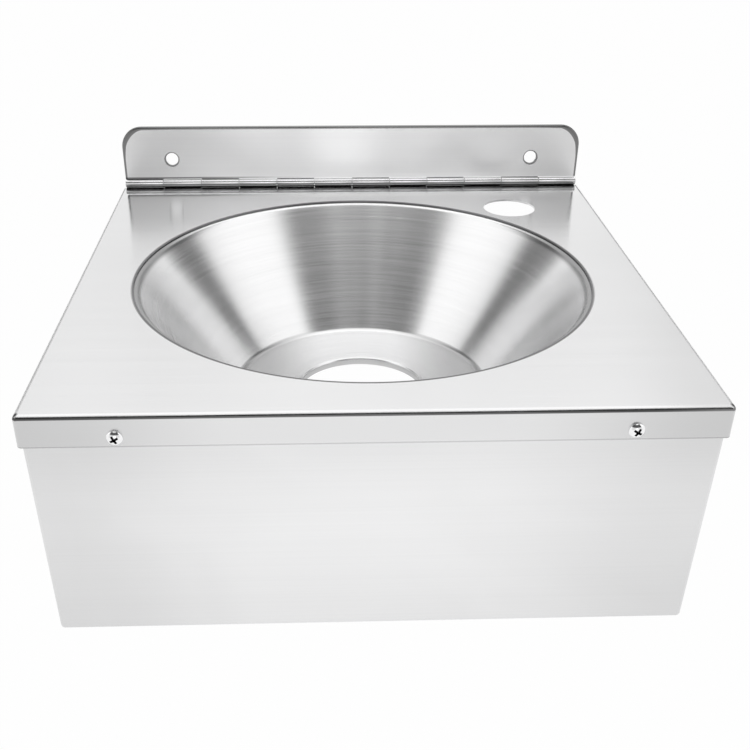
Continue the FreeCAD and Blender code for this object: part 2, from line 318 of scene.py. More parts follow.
# %% [markdown]
# ## Handling marks
#
# A sheet that has been through a workshop is never evenly clean: there are faint wipe marks, and
# small scuffs that catch the light.  Two noises give them, one soft and wide, one small and cut off
# high, so that only its peaks show.  Both only change the roughness a little, as a film of oil does.

# %% Handling group
def build_handling():
    tree, given, end = new_tree("ShaderNodeTree", "handling_marks",
                                {"Vector": "Vector", "Wipes": 9.0, "Scuffs": 60.0},
                                {"Wipe": "Float", "Scuff": "Float"})
    wipe = made(tree, "ShaderNodeTexNoise", {
        "Vector": given["Vector"], "Scale": given["Wipes"], "Detail": 2.0, "Distortion": 1.2})
    scuff = made(tree, "ShaderNodeTexNoise", {
        "Vector": given["Vector"], "Scale": given["Scuffs"], "Detail": 6.0, "Roughness": 0.7})
    feed(tree, end["Wipe"], ramp(tree, wipe, 0.4, 0.7))
    feed(tree, end["Scuff"], ramp(tree, scuff, 0.66, 0.8))
    return tree


handling_group = build_handling()
print("group:", handling_group.name, [s.name for s in handling_group.interface.items_tree])

# %% [markdown]
# ## Steel
#
# Every piece of the sink is bare metal, so each material is one Principled BSDF at full Metallic.
# Anisotropic stretches reflections across the scratches, which is what tells brushed steel from
# cast.  The tangent says which way the scratches run.  It is given in the piece's own space and then
# turned into world space, so that it stays with the metal when the basin swings up.

# %% Steel material
class Steel:
    """A bare steel finish: a base tone, and factors on it and steps in roughness added by masks."""

    def __init__(self, name, tone, roughness, anisotropy=0.0):
        self.material = bpy.data.materials.new(name)
        self.material.use_nodes = True
        self.tree = self.material.node_tree
        self.bsdf = self.tree.nodes["Principled BSDF"]
        self.bsdf.inputs["Metallic"].default_value = 1.0
        self.bsdf.inputs["Anisotropic"].default_value = anisotropy
        self.bsdf.inputs["Anisotropic Rotation"].default_value = 0.25
        self.place = self.tree.nodes.new("ShaderNodeTexCoord").outputs
        self.tone, self.shade, self.roughness = tone, 1.0, roughness

    def parts(self, output="Object"):
        return put(self.tree, "ShaderNodeSeparateXYZ", {0: self.place[output]}).outputs

    def where(self, axis, start, end, output="Object", levels=(0.0, 1.0), both_sides=False):
        """A mask that rises from start to end along an axis of the place, or of the normal."""
        value = self.parts(output)["XYZ".index(axis)]
        if both_sides:
            value = math_node(self.tree, "ABSOLUTE", value)
        return ramp(self.tree, value, start, end, *levels)

    def all_of(self, mask, *others):
        """1 where all the masks are 1."""
        for other in others:
            mask = times(self.tree, mask, other)
        return mask

    def darken(self, mask, factor):
        """Multiplies the tone by factor where the mask is 1, and by nothing where it is 0."""
        dip = math_node(self.tree, "MULTIPLY_ADD", mask, factor - 1.0, 1.0)
        self.shade = times(self.tree, dip, self.shade)

    def roughen(self, mask, step):
        self.roughness = math_node(self.tree, "MULTIPLY_ADD", mask, step, self.roughness)

    def squeezed(self, *scale):
        """Object coordinates, squeezed where the grain is fine."""
        return made(self.tree, "ShaderNodeMapping", {"Vector": self.place["Object"], "Scale": scale})

    def brush(self, vector, tone_swing, rough_swing, bump, lines=1.0, bands=0.1):
        """Grain in colour, roughness and relief from coordinates already stretched along it."""
        grain = put(self.tree, "ShaderNodeGroup", {"Vector": vector, "Lines": lines, "Bands": bands},
                    node_tree=grain_group).outputs
        for noise, swing in ((grain["Fine"], tone_swing), (grain["Band"], tone_swing * 0.6)):
            factor = ramp(self.tree, noise, 0.3, 0.7, 1.0 - swing, 1.0 + swing, False)
            self.shade = times(self.tree, factor, self.shade)
        self.roughen(ramp(self.tree, grain["Fine"], 0.3, 0.7, -1.0, 1.0, False), rough_swing)
        relief = made(self.tree, "ShaderNodeBump", {
            "Strength": bump, "Distance": 0.1 * MM, "Height": grain["Fine"]})
        feed(self.tree, self.bsdf.inputs["Normal"], relief)

    def handle(self, wipe=0.03, scuff=0.06):
        """Faint wipe marks and scuffs."""
        marks = put(self.tree, "ShaderNodeGroup", {"Vector": self.place["Object"]},
                    node_tree=handling_group).outputs
        self.roughen(marks["Wipe"], wipe)
        self.roughen(marks["Scuff"], scuff)

    def tangent(self, vector):
        turned = made(self.tree, "ShaderNodeVectorTransform", {0: vector}, vector_type="VECTOR",
                      convert_from="OBJECT", convert_to="WORLD")
        feed(self.tree, self.bsdf.inputs["Tangent"], turned)

    def finish(self):
        colour = made(self.tree, "ShaderNodeVectorMath", {0: self.tone, "Scale": self.shade},
                      operation="SCALE")
        feed(self.tree, self.bsdf.inputs["Base Color"], colour)
        feed(self.tree, self.bsdf.inputs["Roughness"], self.roughness)
        return self.material


print("bare steel: one Principled BSDF at full Metallic, with masks on its tone and roughness")

# %% [markdown]
# ## Sheet steel
#
# The deck, the shroud and the wall plate are cut from one kind of satin sheet, so they share a grain
# and differ in tone.  The belt ran from side to side, and where a side was folded down, its scratches
# were folded with it.

# %% Sheet finish
def folded_tangent(steel):
    """Scratches run from side to side, and straight down the two sides that were folded."""
    normal_x = math_node(steel.tree, "ABSOLUTE", steel.parts("Normal")[0])
    sideways = math_node(steel.tree, "GREATER_THAN", normal_x, 0.7)
    mix = put(steel.tree, "ShaderNodeMix", {0: sideways, 4: (1.0, 0.0, 0.0), 5: (0.0, 0.0, 1.0)},
              data_type="VECTOR")
    return mix.outputs[1]


def distance(tree, dx, dy):
    """The length of a step of dx and dy."""
    squares = math_node(tree, "ADD", times(tree, dx, dx), times(tree, dy, dy))
    return math_node(tree, "SQRT", squares)


def spot(steel, x, y, radius, soft):
    """1 within a radius of an upright line at x, y, fading over the soft distance."""
    place = steel.parts()
    reach = distance(steel.tree, minus(steel.tree, place[0], x), minus(steel.tree, place[1], y))
    return ramp(steel.tree, reach, radius + soft, radius)


def sheet_steel(name, tone, roughness, anisotropy, wipe=0.03, scuff=0.06):
    """Satin sheet, very slightly blue, with its grain and faint marks."""
    steel = Steel(name, (tone, tone, tone + 0.003), roughness, anisotropy)
    steel.brush(steel.squeezed(4.0, 900.0, 900.0), 0.012, 0.02, 0.03)
    steel.handle(wipe, scuff)
    return steel


print("sheet steel: grain along X, and down the folded sides")

# %% [markdown]
# ## The deck's finish
#
# The deck is blurred strongly across its grain and hardly along it, so the wall plate's mirror image
# ends sharply at its sides and fades out to the front.  Folding stretches the outside of a sheet and
# burnishes it on the press tool, so the folds are smoother than the flats.  The normal tells where a
# fold is, and it comes from Texture Coordinate, because that one turns with the piece.
#
# The other masks are painted reflections and painted shade, with tones fitted to the photograph.  The dark
# line along the front fold, weaker to the right, and the darker ends of the front flange are painted
# reflections.  A darker cut edge on the front flange is a painted shadow.  A dark spot at each front
# corner is a painted reflection.  A thin ring round the opening, stronger in front, and a strip under the
# hinge are painted shade.  A photograph can't tell whether metal is darker there or only mirrors something
# dark.

# %% Deck finish
UNDER_CURLS = 3.4 * MM
CORNER_SPOT = (1.4 * MM, 2.4 * MM)
WELD_FLANGE = 6.0 * MM
OPENING_RADIUS = (bowl_high.x - bowl_low.x) / 2 - WELD_FLANGE


def finish_front_fold(steel):
    """The fold is what faces forward and is neither level nor upright.  Its dark line is a painted
    reflection, and the bend's roughness changes too.
    """
    front = steel.where("Y", -0.25, -0.5, "Normal")
    steep = steel.all_of(steel.where("Z", 0.7, 0.56, "Normal"), steel.where("Z", 0.08, 0.2, "Normal"))
    fading = steel.where("X", 130.0 * MM, deck_high.x, levels=(1.0, 0.7))
    # Painted reflection: a dark line along the front fold, weaker to the right
    steel.darken(steel.all_of(front, steep, fading), 0.16)
    bend = steel.all_of(steel.where("Z", 0.98, 0.9, "Normal"), steel.where("Z", 0.04, 0.2, "Normal"))
    steel.roughen(bend, -0.08)
    side_bend = steel.where("X", 0.1, 0.3, "Normal", both_sides=True)
    steel.roughen(steel.all_of(bend, side_bend), 0.3)


def finish_rear(steel):
    """Smoother towards the hinge, and painted shade in the strip under its curls."""
    steel.roughen(steel.where("Y", -150.0 * MM, -70.0 * MM), -0.05)
    steel.roughen(steel.where("Y", -32.0 * MM, -21.0 * MM), -0.11)
    # Painted shade in the crevice under the hinge's curls
    steel.darken(steel.where("Y", -UNDER_CURLS - 0.6 * MM, -UNDER_CURLS), 0.3)


def finish_flange(steel):
    """Darker ends as a painted reflection, a painted shadow along the cut edge, and a dark spot at each
    front corner as a painted reflection.
    """
    upright = steel.where("Y", -0.5, -0.9, "Normal")
    ends = steel.where("X", 60.0 * MM, deck_high.x, both_sides=True)
    # Painted reflection: the upright flange darker towards its ends
    steel.darken(steel.all_of(upright, ends), 0.78)
    # Painted shadow along the flange's lower cut edge
    steel.darken(steel.where("Z", deck_low.z + 0.9 * MM, deck_low.z + 0.2 * MM), 0.72)
    # Painted reflection: a dark spot at each front corner
    for side in (-1, 1):
        corner_x = side * (deck_high.x - CORNER_SPOT[0])
        steel.darken(spot(steel, corner_x, deck_low.y + CORNER_SPOT[1], 0.6 * MM, 1.3 * MM), 0.12)


def outline_opening(steel):
    """Painted shade: a thin ring round the opening, and a second one just outside it in front."""
    # Painted shade round the opening, and more of it in front
    ring = spot(steel, bowl_centre.x, bowl_centre.y, OPENING_RADIUS + 0.4 * MM, 0.4 * MM)
    steel.darken(ring, 0.5)
    in_front = steel.where("Y", bowl_centre.y + 10.0 * MM, bowl_centre.y - 70.0 * MM)
    wider = spot(steel, bowl_centre.x, bowl_centre.y, OPENING_RADIUS + 1.0 * MM, 0.3 * MM)
    steel.darken(steel.all_of(wider, in_front), 0.35)


def build_deck_steel():
    steel = sheet_steel("deck_brushed", 0.8, 0.22, 0.9)
    steel.tangent(folded_tangent(steel))
    finish_front_fold(steel)
    finish_rear(steel)
    finish_flange(steel)
    outline_opening(steel)
    return steel.finish()


deck_steel = build_deck_steel()
print("finish:", deck_steel.name, "with a ring of radius", round(OPENING_RADIUS, 4))

# %% [markdown]
# ## The shroud's and the plate's finish
#
# Both are the same sheet, a little brighter.  Masks fitted to the photograph darken the shroud towards its
# sides, its top and its foot, and the plate towards its two ends, all as painted reflections.  They also
# darken the plate along the left of its foot, as a painted shadow.  The plate's rolled edge is dark in the
# photograph, so an attribute on its mesh marks the roll, where a painted reflection darkens it.

# %% Shroud and plate finishes
def build_shroud_steel():
    steel = sheet_steel("shroud_brushed", 0.92, 0.3, 0.9)
    steel.tangent(folded_tangent(steel))
    # Painted reflections: darker towards the sides, the top and the foot
    steel.darken(steel.where("X", 50.0 * MM, deck_high.x, both_sides=True), 0.88)
    steel.darken(steel.where("Z", deck_low.z - 45.0 * MM, deck_low.z), 0.94)
    steel.darken(steel.where("Z", shroud_foot + 70.0 * MM, shroud_foot), 0.93)
    return steel.finish()


def build_plate_steel():
    steel = sheet_steel("plate_brushed", 0.98, 0.3, 0.5, 0.02, 0.04)
    steel.tangent((1.0, 0.0, 0.0))
    # Painted reflection: darker towards the two ends
    steel.darken(steel.where("X", 80.0 * MM, plate_high.x, both_sides=True), 0.72)
    # Painted shadow along the left of the foot, above the curls
    foot = steel.where("Z", plate_low.z + 1.7 * MM, plate_low.z + 0.8 * MM)
    left = steel.where("X", -20.0 * MM, -130.0 * MM)
    steel.darken(steel.all_of(foot, left), 0.25)
    # Painted reflection: the rolled edge is darker
    rim = put(steel.tree, "ShaderNodeAttribute", attribute_name="rim").outputs["Fac"]
    steel.darken(rim, 0.28)
    steel.roughen(rim, -0.08)
    return steel.finish()


shroud_steel = build_shroud_steel()
plate_steel = build_plate_steel()
print("finishes:", shroud_steel.name, plate_steel.name)

# %% [markdown]
# ## Spun steel
#
# A spun bowl's grain runs round it.  Its coordinates are rings: the distance from the axis less the
# height, which grows steadily from the floor up the wall.  The angle itself would jump where the
# circle closes, so the sine and cosine of the angle stand in for it.  The tangent is the axis crossed
# with the direction from the axis, which is level and runs round the bowl.

# %% Spun finish
def spun_steel(name, tone, roughness, anisotropy, tone_swing, rough_swing=0.02, bump=0.03):
    """Grain in rings.  Masks may use its height, from the deck's top, and its direction from the axis."""
    steel = Steel(name, tone, roughness, anisotropy)
    tree = steel.tree
    from_centre = made(tree, "ShaderNodeMapping", {
        "Vector": steel.place["Object"], "Location": (-bowl_centre.x, -bowl_centre.y, -deck_top)})
    flat = vector_math(tree, "MULTIPLY", from_centre, (1.0, 1.0, 0.0))
    steel.outward = vector_math(tree, "NORMALIZE", flat)
    steel.height = put(tree, "ShaderNodeSeparateXYZ", {0: from_centre}).outputs[2]
    climb = math_node(tree, "ADD", vector_math(tree, "LENGTH", flat, output=1), steel.height)
    rings = vector_of(tree, 0.0, 0.0, times(tree, climb, 800.0))
    around = vector_math(tree, "MULTIPLY_ADD", steel.outward, (1.2, 1.2, 0.0), rings)
    steel.brush(around, tone_swing, rough_swing, bump)
    steel.tangent(vector_math(tree, "CROSS_PRODUCT", (0.0, 0.0, 1.0), steel.outward))
    return steel


print("spun steel: rings round", tuple(round(c, 4) for c in bowl_centre))

# %% [markdown]
# The bowl's own masks paint shade and reflections, with tones fitted to the photograph.  There is painted
# shade close under the rim, except at the back, and in the neck of the waste hole.  A painted reflection
# darkens the floor away from its middle.  The seam round the opening is the darkest line of the picture,
# as painted shade, and the weld under the rim has the straw tint of heat.

# %% Bowl, seam and weld finishes
FLOOR_EDGE = bowl_low.z - deck_top + 9.0 * MM
NECK_TOP = bowl_low.z - deck_top + 4.0 * MM


def build_bowl_steel():
    steel = spun_steel("bowl_spun", (0.87, 0.87, 0.873), 0.24, 0.9, 0.029)
    tree = steel.tree
    steel.handle(0.02, 0.03)
    by_rim = ramp(tree, steel.height, -5.0 * MM, -2.5 * MM)
    backward = put(tree, "ShaderNodeSeparateXYZ", {0: steel.outward}).outputs[1]
    not_behind = ramp(tree, backward, 0.75, 0.35)
    # Painted shade close under the rim, except at the back
    steel.darken(steel.all_of(by_rim, not_behind), 0.4)
    on_floor = ramp(tree, steel.height, FLOOR_EDGE, FLOOR_EDGE - 1.2 * MM)
    off_centre = steel.where("X", 18.0 * MM, 66.0 * MM, both_sides=True)
    # Painted reflection: the floor darker away from its middle
    steel.darken(steel.all_of(on_floor, off_centre), 0.55)
    in_neck = ramp(tree, steel.height, NECK_TOP, NECK_TOP - 1.0 * MM)
    # Painted shade in the neck of the waste hole
    steel.darken(in_neck, 0.7)
    return steel.finish()


bowl_steel = build_bowl_steel()
# The seam's dark tone is painted shade at the real joint
seam_steel = spun_steel("seam_painted_shade", (0.2, 0.2, 0.204), 0.3, 0.6, 0.1).finish()
weld_finish = spun_steel("weld_bead", (0.52, 0.50, 0.47), 0.38, 0.0, 0.15, 0.08)
weld_finish.handle(0.1, 0.1)
weld_steel = weld_finish.finish()
print("finishes:", bowl_steel.name, seam_steel.name, weld_steel.name)

# %% [markdown]
# ## Small metal
#
# The hinge strip is rolled bright and is nearly a mirror.  In the photograph the curls of the wall's leaf
# are black underneath and those of the deck's leaf are grey.  So the two leaves have one finish with two
# tones of painted shade for the underside, which is found by its height below the pin's middle.  The lower
# half of every curl and the flat leaf above them are painted darker too, as painted shade.  The pin's dark
# tone is painted shade, so that the gaps between the curls read dark.  The wire, the screws and the rivet
# nuts are drawn, headed or turned, so their grain is squeezed the other way.

# %% Small metal finishes
def build_hinge_steel(name, underside, leaf):
    """The two factors are painted shade, on the curls' underside and on the flat leaf above them."""
    steel = Steel(name, (0.97, 0.97, 0.975), 0.2, 0.3)
    steel.brush(steel.squeezed(12.0, 1600.0, 1600.0), 0.03, 0.03, 0.02)
    steel.handle(0.04, 0.1)
    steel.tangent((1.0, 0.0, 0.0))
    # Painted shade: the lower half of each curl is darker
    steel.darken(steel.where("Z", 0.3, 0.1, "Normal"), 0.5)
    pin_height = (pin_low.z + pin_high.z) / 2
    # Painted shade under the curls
    steel.darken(steel.where("Z", pin_height - 1.3 * MM, pin_height - 2.1 * MM), underside)
    # Painted shade on the flat leaf above the curls
    steel.darken(steel.where("Z", pin_high.z + 3.0 * MM, pin_high.z + 4.0 * MM), leaf)
    return steel.finish()


def build_small_steel(name, tone, roughness, *squeeze):
    steel = Steel(name, tone, roughness, 0.4)
    steel.brush(steel.squeezed(*squeeze), 0.04, 0.05, 0.04, 1.0, 0.3)
    steel.handle(0.05, 0.15)
    return steel


wall_curl_steel = build_hinge_steel("hinge_wall_bright", 0.06, 0.6)
deck_curl_steel = build_hinge_steel("hinge_deck_bright", 0.4, 1.0)
# The pin's dark tone is painted shade, so the gaps between the curls read dark
pin_steel = build_small_steel("pin_drawn", (0.35, 0.35, 0.354), 0.25, 30.0, 1500.0, 1500.0).finish()
nut_steel = build_small_steel("nut_turned", (0.62, 0.61, 0.60), 0.3, 900.0, 4000.0, 900.0).finish()
print("materials so far:", sorted(m.name for m in bpy.data.materials))

# %% [markdown]
# ## The bowl
#
# A bowl like this is spun: a flat disc of sheet is pressed over a turning former until it takes its
# shape.  So it is a surface of revolution, and one line describes it, from the neck of the waste
# hole, over the floor, up the wall and out under the deck.  Fillet Curve gives each corner of that
# line the bend that the former had.  Flat runs next to a bend get a support ring near it, or the
# smooth shading would spread the bend over the whole wall.  Solidify adds the gauge of the sheet.
# The profile is measured from the bowl's ledge, the ring where its wall turns out under the deck.

# %% Bowl tree
def between(tree, near, far, share):
    """The point at this share of the way from one corner to the next."""
    return tuple(math_node(tree, "MULTIPLY_ADD", minus(tree, b, a), share, a) for a, b in zip(near, far))


def build_spun_bowl():
    tree, size, target = geometry_tree("spun_bowl", {
        "Weld Radius": 0.143, "Ledge Radius": 0.1344, "Rim Drop": 0.0012, "Floor Radius": 0.0795,
        "Depth": 0.0755, "Waste Radius": 0.04, "Fall": 0.002, "Neck": 0.0045, "Rim Bend": 0.003,
        "Floor Bend": 0.0045, "Waste Bend": 0.0018, "Steps": 256, "Finish": "Material",
    })
    ledge = size["Ledge Radius"]
    waste_depth = math_node(tree, "ADD", size["Depth"], size["Fall"])
    neck_depth = math_node(tree, "ADD", waste_depth, size["Neck"])
    waste = (minus(tree, size["Waste Radius"], ledge), waste_depth)
    floor_edge = (minus(tree, size["Floor Radius"], ledge), size["Depth"])
    rim = (0.0, size["Rim Drop"])
    corners = [
        (waste[0], neck_depth), waste,
        between(tree, waste, floor_edge, 0.12), between(tree, waste, floor_edge, 0.86), floor_edge,
        between(tree, floor_edge, rim, 0.06), between(tree, floor_edge, rim, 0.96), rim,
        (minus(tree, size["Weld Radius"], ledge), size["Rim Drop"]),
    ]
    bends = [0.0, size["Waste Bend"], 0.0, 0.0, size["Floor Bend"], 0.0, 0.0, size["Rim Bend"], 0.0]
    profile = polyline(tree, corners, bends, steps=10)
    return close_tree(tree, revolved(tree, profile, ledge, size["Steps"]), size["Finish"], target)


bowl_tree = build_spun_bowl()
LEDGE_WIDTH = 8.6 * MM
BOWL_SHEET = 1.0 * MM
NECK = 4.5 * MM
FALL = 2.0 * MM
rim_drop = deck_top - bowl_high.z
weld_radius = (bowl_high.x - bowl_low.x) / 2
bowl_place = (bowl_centre.x, bowl_centre.y, deck_top)
bowl_piece = grow("spun_bowl", bowl_tree, {
    "Weld Radius": weld_radius, "Ledge Radius": weld_radius - LEDGE_WIDTH, "Rim Drop": rim_drop,
    "Depth": deck_top - bowl_low.z - NECK - FALL, "Fall": FALL, "Neck": NECK, "Finish": bowl_steel,
}, bowl_place, thickness=BOWL_SHEET)
stand_in(bowl_piece, "basin", "bowl_steel", "bowl")
print("bowl radius", round(weld_radius, 4), "rim below the deck", round(rim_drop, 4))

# %% [markdown]
# ## The seam and the weld round the bowl
#
# The bowl's rim lies under the deck.  Where the cut edge of the deck meets it, a narrow dark ring outlines
# the whole opening.  The ring is the real joint, and its dark tone is painted shade.  Underneath, an
# ordinary fillet weld runs round the rim, with the ripple that each drop of molten metal leaves.  Both are
# a circle with a small round profile, so one tree makes both.  Curve to Mesh takes the ripple as its
# Scale: a sine along the ring, made uneven by noise.

# %% Bead tree
def build_bead():
    tree, size, target = geometry_tree("ring_bead", {
        "Ring Radius": 0.137, "Bead Radius": 0.0005, "Ripple": 0.0, "Ripples": 300.0, "Steps": 512,
        "Finish": "Material",
    })
    ring = circle_of(tree, size["Ring Radius"], size["Steps"])
    bead = circle_of(tree, size["Bead Radius"], 10)
    share = put(tree, "GeometryNodeSplineParameter").outputs["Factor"]
    wave = math_node(tree, "SINE", times(tree, times(tree, share, size["Ripples"]), math.tau))
    noise = made(tree, "ShaderNodeTexNoise", {"Scale": 180.0, "Detail": 2.0})
    wave = math_node(tree, "ADD", wave, math_node(tree, "MULTIPLY_ADD", noise, 4.0, -2.0))
    swell = math_node(tree, "MULTIPLY_ADD", wave, size["Ripple"], 1.0)
    return close_tree(tree, swept(tree, ring, bead, {"Scale": swell}), size["Finish"], target)


bead_tree = build_bead()
SEAM_BEAD = 0.65 * MM
WELD_BEAD = 0.9 * MM
SEAM_SUNK = 0.93   # share of its radius that the seam's middle lies under the deck's top
WELD_SUNK = 0.5
seam = grow("rim_seam", bead_tree, {
    "Ring Radius": OPENING_RADIUS, "Bead Radius": SEAM_BEAD, "Finish": seam_steel,
}, (bowl_centre.x, bowl_centre.y, deck_top - SEAM_BEAD * SEAM_SUNK))
stand_in(seam, "basin", "deck_steel")
weld = grow("rim_weld", bead_tree, {
    "Ring Radius": weld_radius, "Bead Radius": WELD_BEAD, "Ripple": 0.12, "Finish": weld_steel,
}, (bowl_centre.x, bowl_centre.y, deck_top - rim_drop - WELD_BEAD * WELD_SUNK))
stand_in(weld, "basin", "bowl_steel")

# %% [markdown]
# ## The continuous hinge
#
# A continuous hinge is two strips of sheet, each cut into tongues along one edge.  Every second
# tongue belongs to the other strip, and all are curled round the same pin.  One tongue's curl is a
# line of points that obeys a rule: the first lies at the leaf's foot, and the rest go round the pin.
# A small rounded rectangle swept along it is the curl.  Instances repeat it, and a leaf with its
# holes is filled from outlines.  The two leaves are the same tree with other values.

# %% Hinge leaf tree
CURL_POINTS = 44


def build_hinge_leaf():
    tree, size, target = geometry_tree("hinge_leaf", {
        "Curls": 6, "First Curl": -0.154, "Curl Step": 0.056, "Curl Length": 0.0277,
        "Sheet": 0.0012, "Pin Distance": 0.00215, "Mouth": 0.93, "Foot": 0.00305, "Half Turn": 0.0,
        "Leaf Length": 0.333, "Leaf Width": 0.024, "Holes": 2, "Hole Spacing": 0.265,
        "Hole Radius": 0.0045, "Hole Height": 0.015, "Edge": 0.0002, "Finish": "Material",
    })
    line = loose_line(tree, CURL_POINTS)
    index = made(tree, "GeometryNodeInputIndex")
    share = math_node(tree, "DIVIDE", minus(tree, index, 1.0), CURL_POINTS - 2.0, clamp=True)
    angle = times(tree, share, minus(tree, size["Mouth"], math.tau))
    y, z = (times(tree, math_node(tree, name, angle), size["Pin Distance"]) for name in ("COSINE", "SINE"))
    first = math_node(tree, "LESS_THAN", index, 0.5)
    place = vector_of(tree, 0.0, y, math_node(tree, "MULTIPLY_ADD", first, size["Foot"], z))
    line = made(tree, "GeometryNodeSetPosition", {"Geometry": line, "Position": place})
    section = rounded(tree, rectangle_of(tree, size["Curl Length"], size["Sheet"]), size["Edge"], 3)
    curl = swept(tree, line, section, {"Fill Caps": True})

    # The row of curls
    row = row_of(tree, size["Curls"], size["First Curl"], size["Curl Step"])
    flip = turn_about(tree, (0.0, 1.0, 0.0), size["Half Turn"])
    curls = instances(tree, row, curl, {"Rotation": flip})

    # The leaf: an outline and its holes are filled, then the face is drawn out to the sheet's gauge
    outline = rectangle_of(tree, size["Leaf Length"], size["Leaf Width"])
    lift = math_node(tree, "ADD", size["Foot"], times(tree, size["Leaf Width"], 0.5))
    hole_row = row_of(tree, size["Holes"], times(tree, size["Hole Spacing"], -0.5), size["Hole Spacing"],
                      minus(tree, size["Hole Height"], lift))
    rings = instances(tree, hole_row, circle_of(tree, size["Hole Radius"], 48))
    rings = made(tree, "GeometryNodeRealizeInstances", {"Geometry": rings})
    face = made(tree, "GeometryNodeFillCurve", {"Curve": joined(tree, outline, rings)})
    drawn = made(tree, "GeometryNodeExtrudeMesh", {
        "Mesh": face, "Offset Scale": size["Sheet"], "Individual": False})
    leaf = merged(tree, joined(tree, drawn, made(tree, "GeometryNodeFlipFaces", {"Mesh": face})))
    # Upright, with its face at the front of the gauge: a quarter turn about X
    back = math_node(tree, "MULTIPLY_ADD", size["Sheet"], 0.5, size["Pin Distance"])
    upright = turn_about(tree, (1.0, 0.0, 0.0), math.pi / 2)
    leaf = moved(tree, leaf, {"Translation": vector_of(tree, 0.0, back, lift), "Rotation": upright})
    leaf = moved(tree, leaf, {"Rotation": flip})
    return close_tree(tree, joined(tree, curls, leaf), size["Finish"], target)


leaf_tree = build_hinge_leaf()
print("tree:", leaf_tree.name, "with", len(leaf_tree.nodes), "nodes")

# %% [markdown]
# The pin's length is shared out evenly among the curls.  The first curl is at the far left, and
# belongs to the wall's leaf.  The deck's leaf hangs, so it is turned half round the Y axis, which
# also mirrors left and right.

# %% Place the two leaves
KNUCKLES = 12
KNUCKLE_GAP = 0.3 * MM
LEAF_SHEET = 1.2 * MM
BARREL = 2.75 * MM
SCREW_SPACING = 265.0 * MM
WALL_LEAF_HALF = 166.5 * MM
leaf_foot = BARREL + 0.3 * MM
hinge_half = pin_high.x
hinge_place = (pin_low + pin_high) / 2
pitch = 2 * hinge_half / KNUCKLES
print("curls every", round(pitch, 4), "m round a pin at", tuple(round(c, 5) for c in hinge_place))
wall_leaf_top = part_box("hinge_wall_leaf")[1].z
deck_leaf_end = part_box("hinge_deck_leaf")[0].z
curl_sizes = {
    "Curls": KNUCKLES // 2, "Curl Step": 2 * pitch, "Curl Length": pitch - KNUCKLE_GAP,
    "Sheet": LEAF_SHEET, "Pin Distance": BARREL - LEAF_SHEET / 2, "Foot": leaf_foot,
}
wall_leaf = grow("hinge_wall_curls", leaf_tree, {
    **curl_sizes,
    "First Curl": -hinge_half + pitch / 2, "Half Turn": 0.0, "Leaf Length": 2 * WALL_LEAF_HALF,
    "Leaf Width": wall_leaf_top - hinge_place.z - leaf_foot, "Holes": 2,
    "Hole Spacing": SCREW_SPACING, "Hole Radius": 4.5 * MM, "Hole Height": -hinge_place.z,
    "Finish": wall_curl_steel,
}, hinge_place)
stand_in(wall_leaf, "wall_side", "hinge_steel", "hinge_wall_leaf")
deck_leaf = grow("hinge_deck_curls", leaf_tree, {
    **curl_sizes,
    "First Curl": -hinge_half + 1.5 * pitch, "Half Turn": math.pi, "Leaf Length": 2 * hinge_half,
    "Leaf Width": hinge_place.z - deck_leaf_end - leaf_foot, "Holes": 0,
    "Finish": deck_curl_steel,
}, hinge_place)
stand_in(deck_leaf, "basin", "hinge_steel", "hinge_deck_leaf")

# %% [markdown]
# ## The screws
#
# The two pan-head screws are turned and then stamped with a cross.  Their tree revolves a profile
# whose top is one Bezier segment, level at the crown, and subtracts the punch that makes the
# recess.  The punch is two bars that narrow with depth.  The finished screw is placed at two points,
# each turned by its own angle, because no two screws stop at the same place.

# %% Screw tree
CROWN_FLAT = 0.36    # how far out the crown starts to fall, as a share of the head's radius
PUNCH_TAPER = 0.45   # share of its size that the punch loses towards its tip


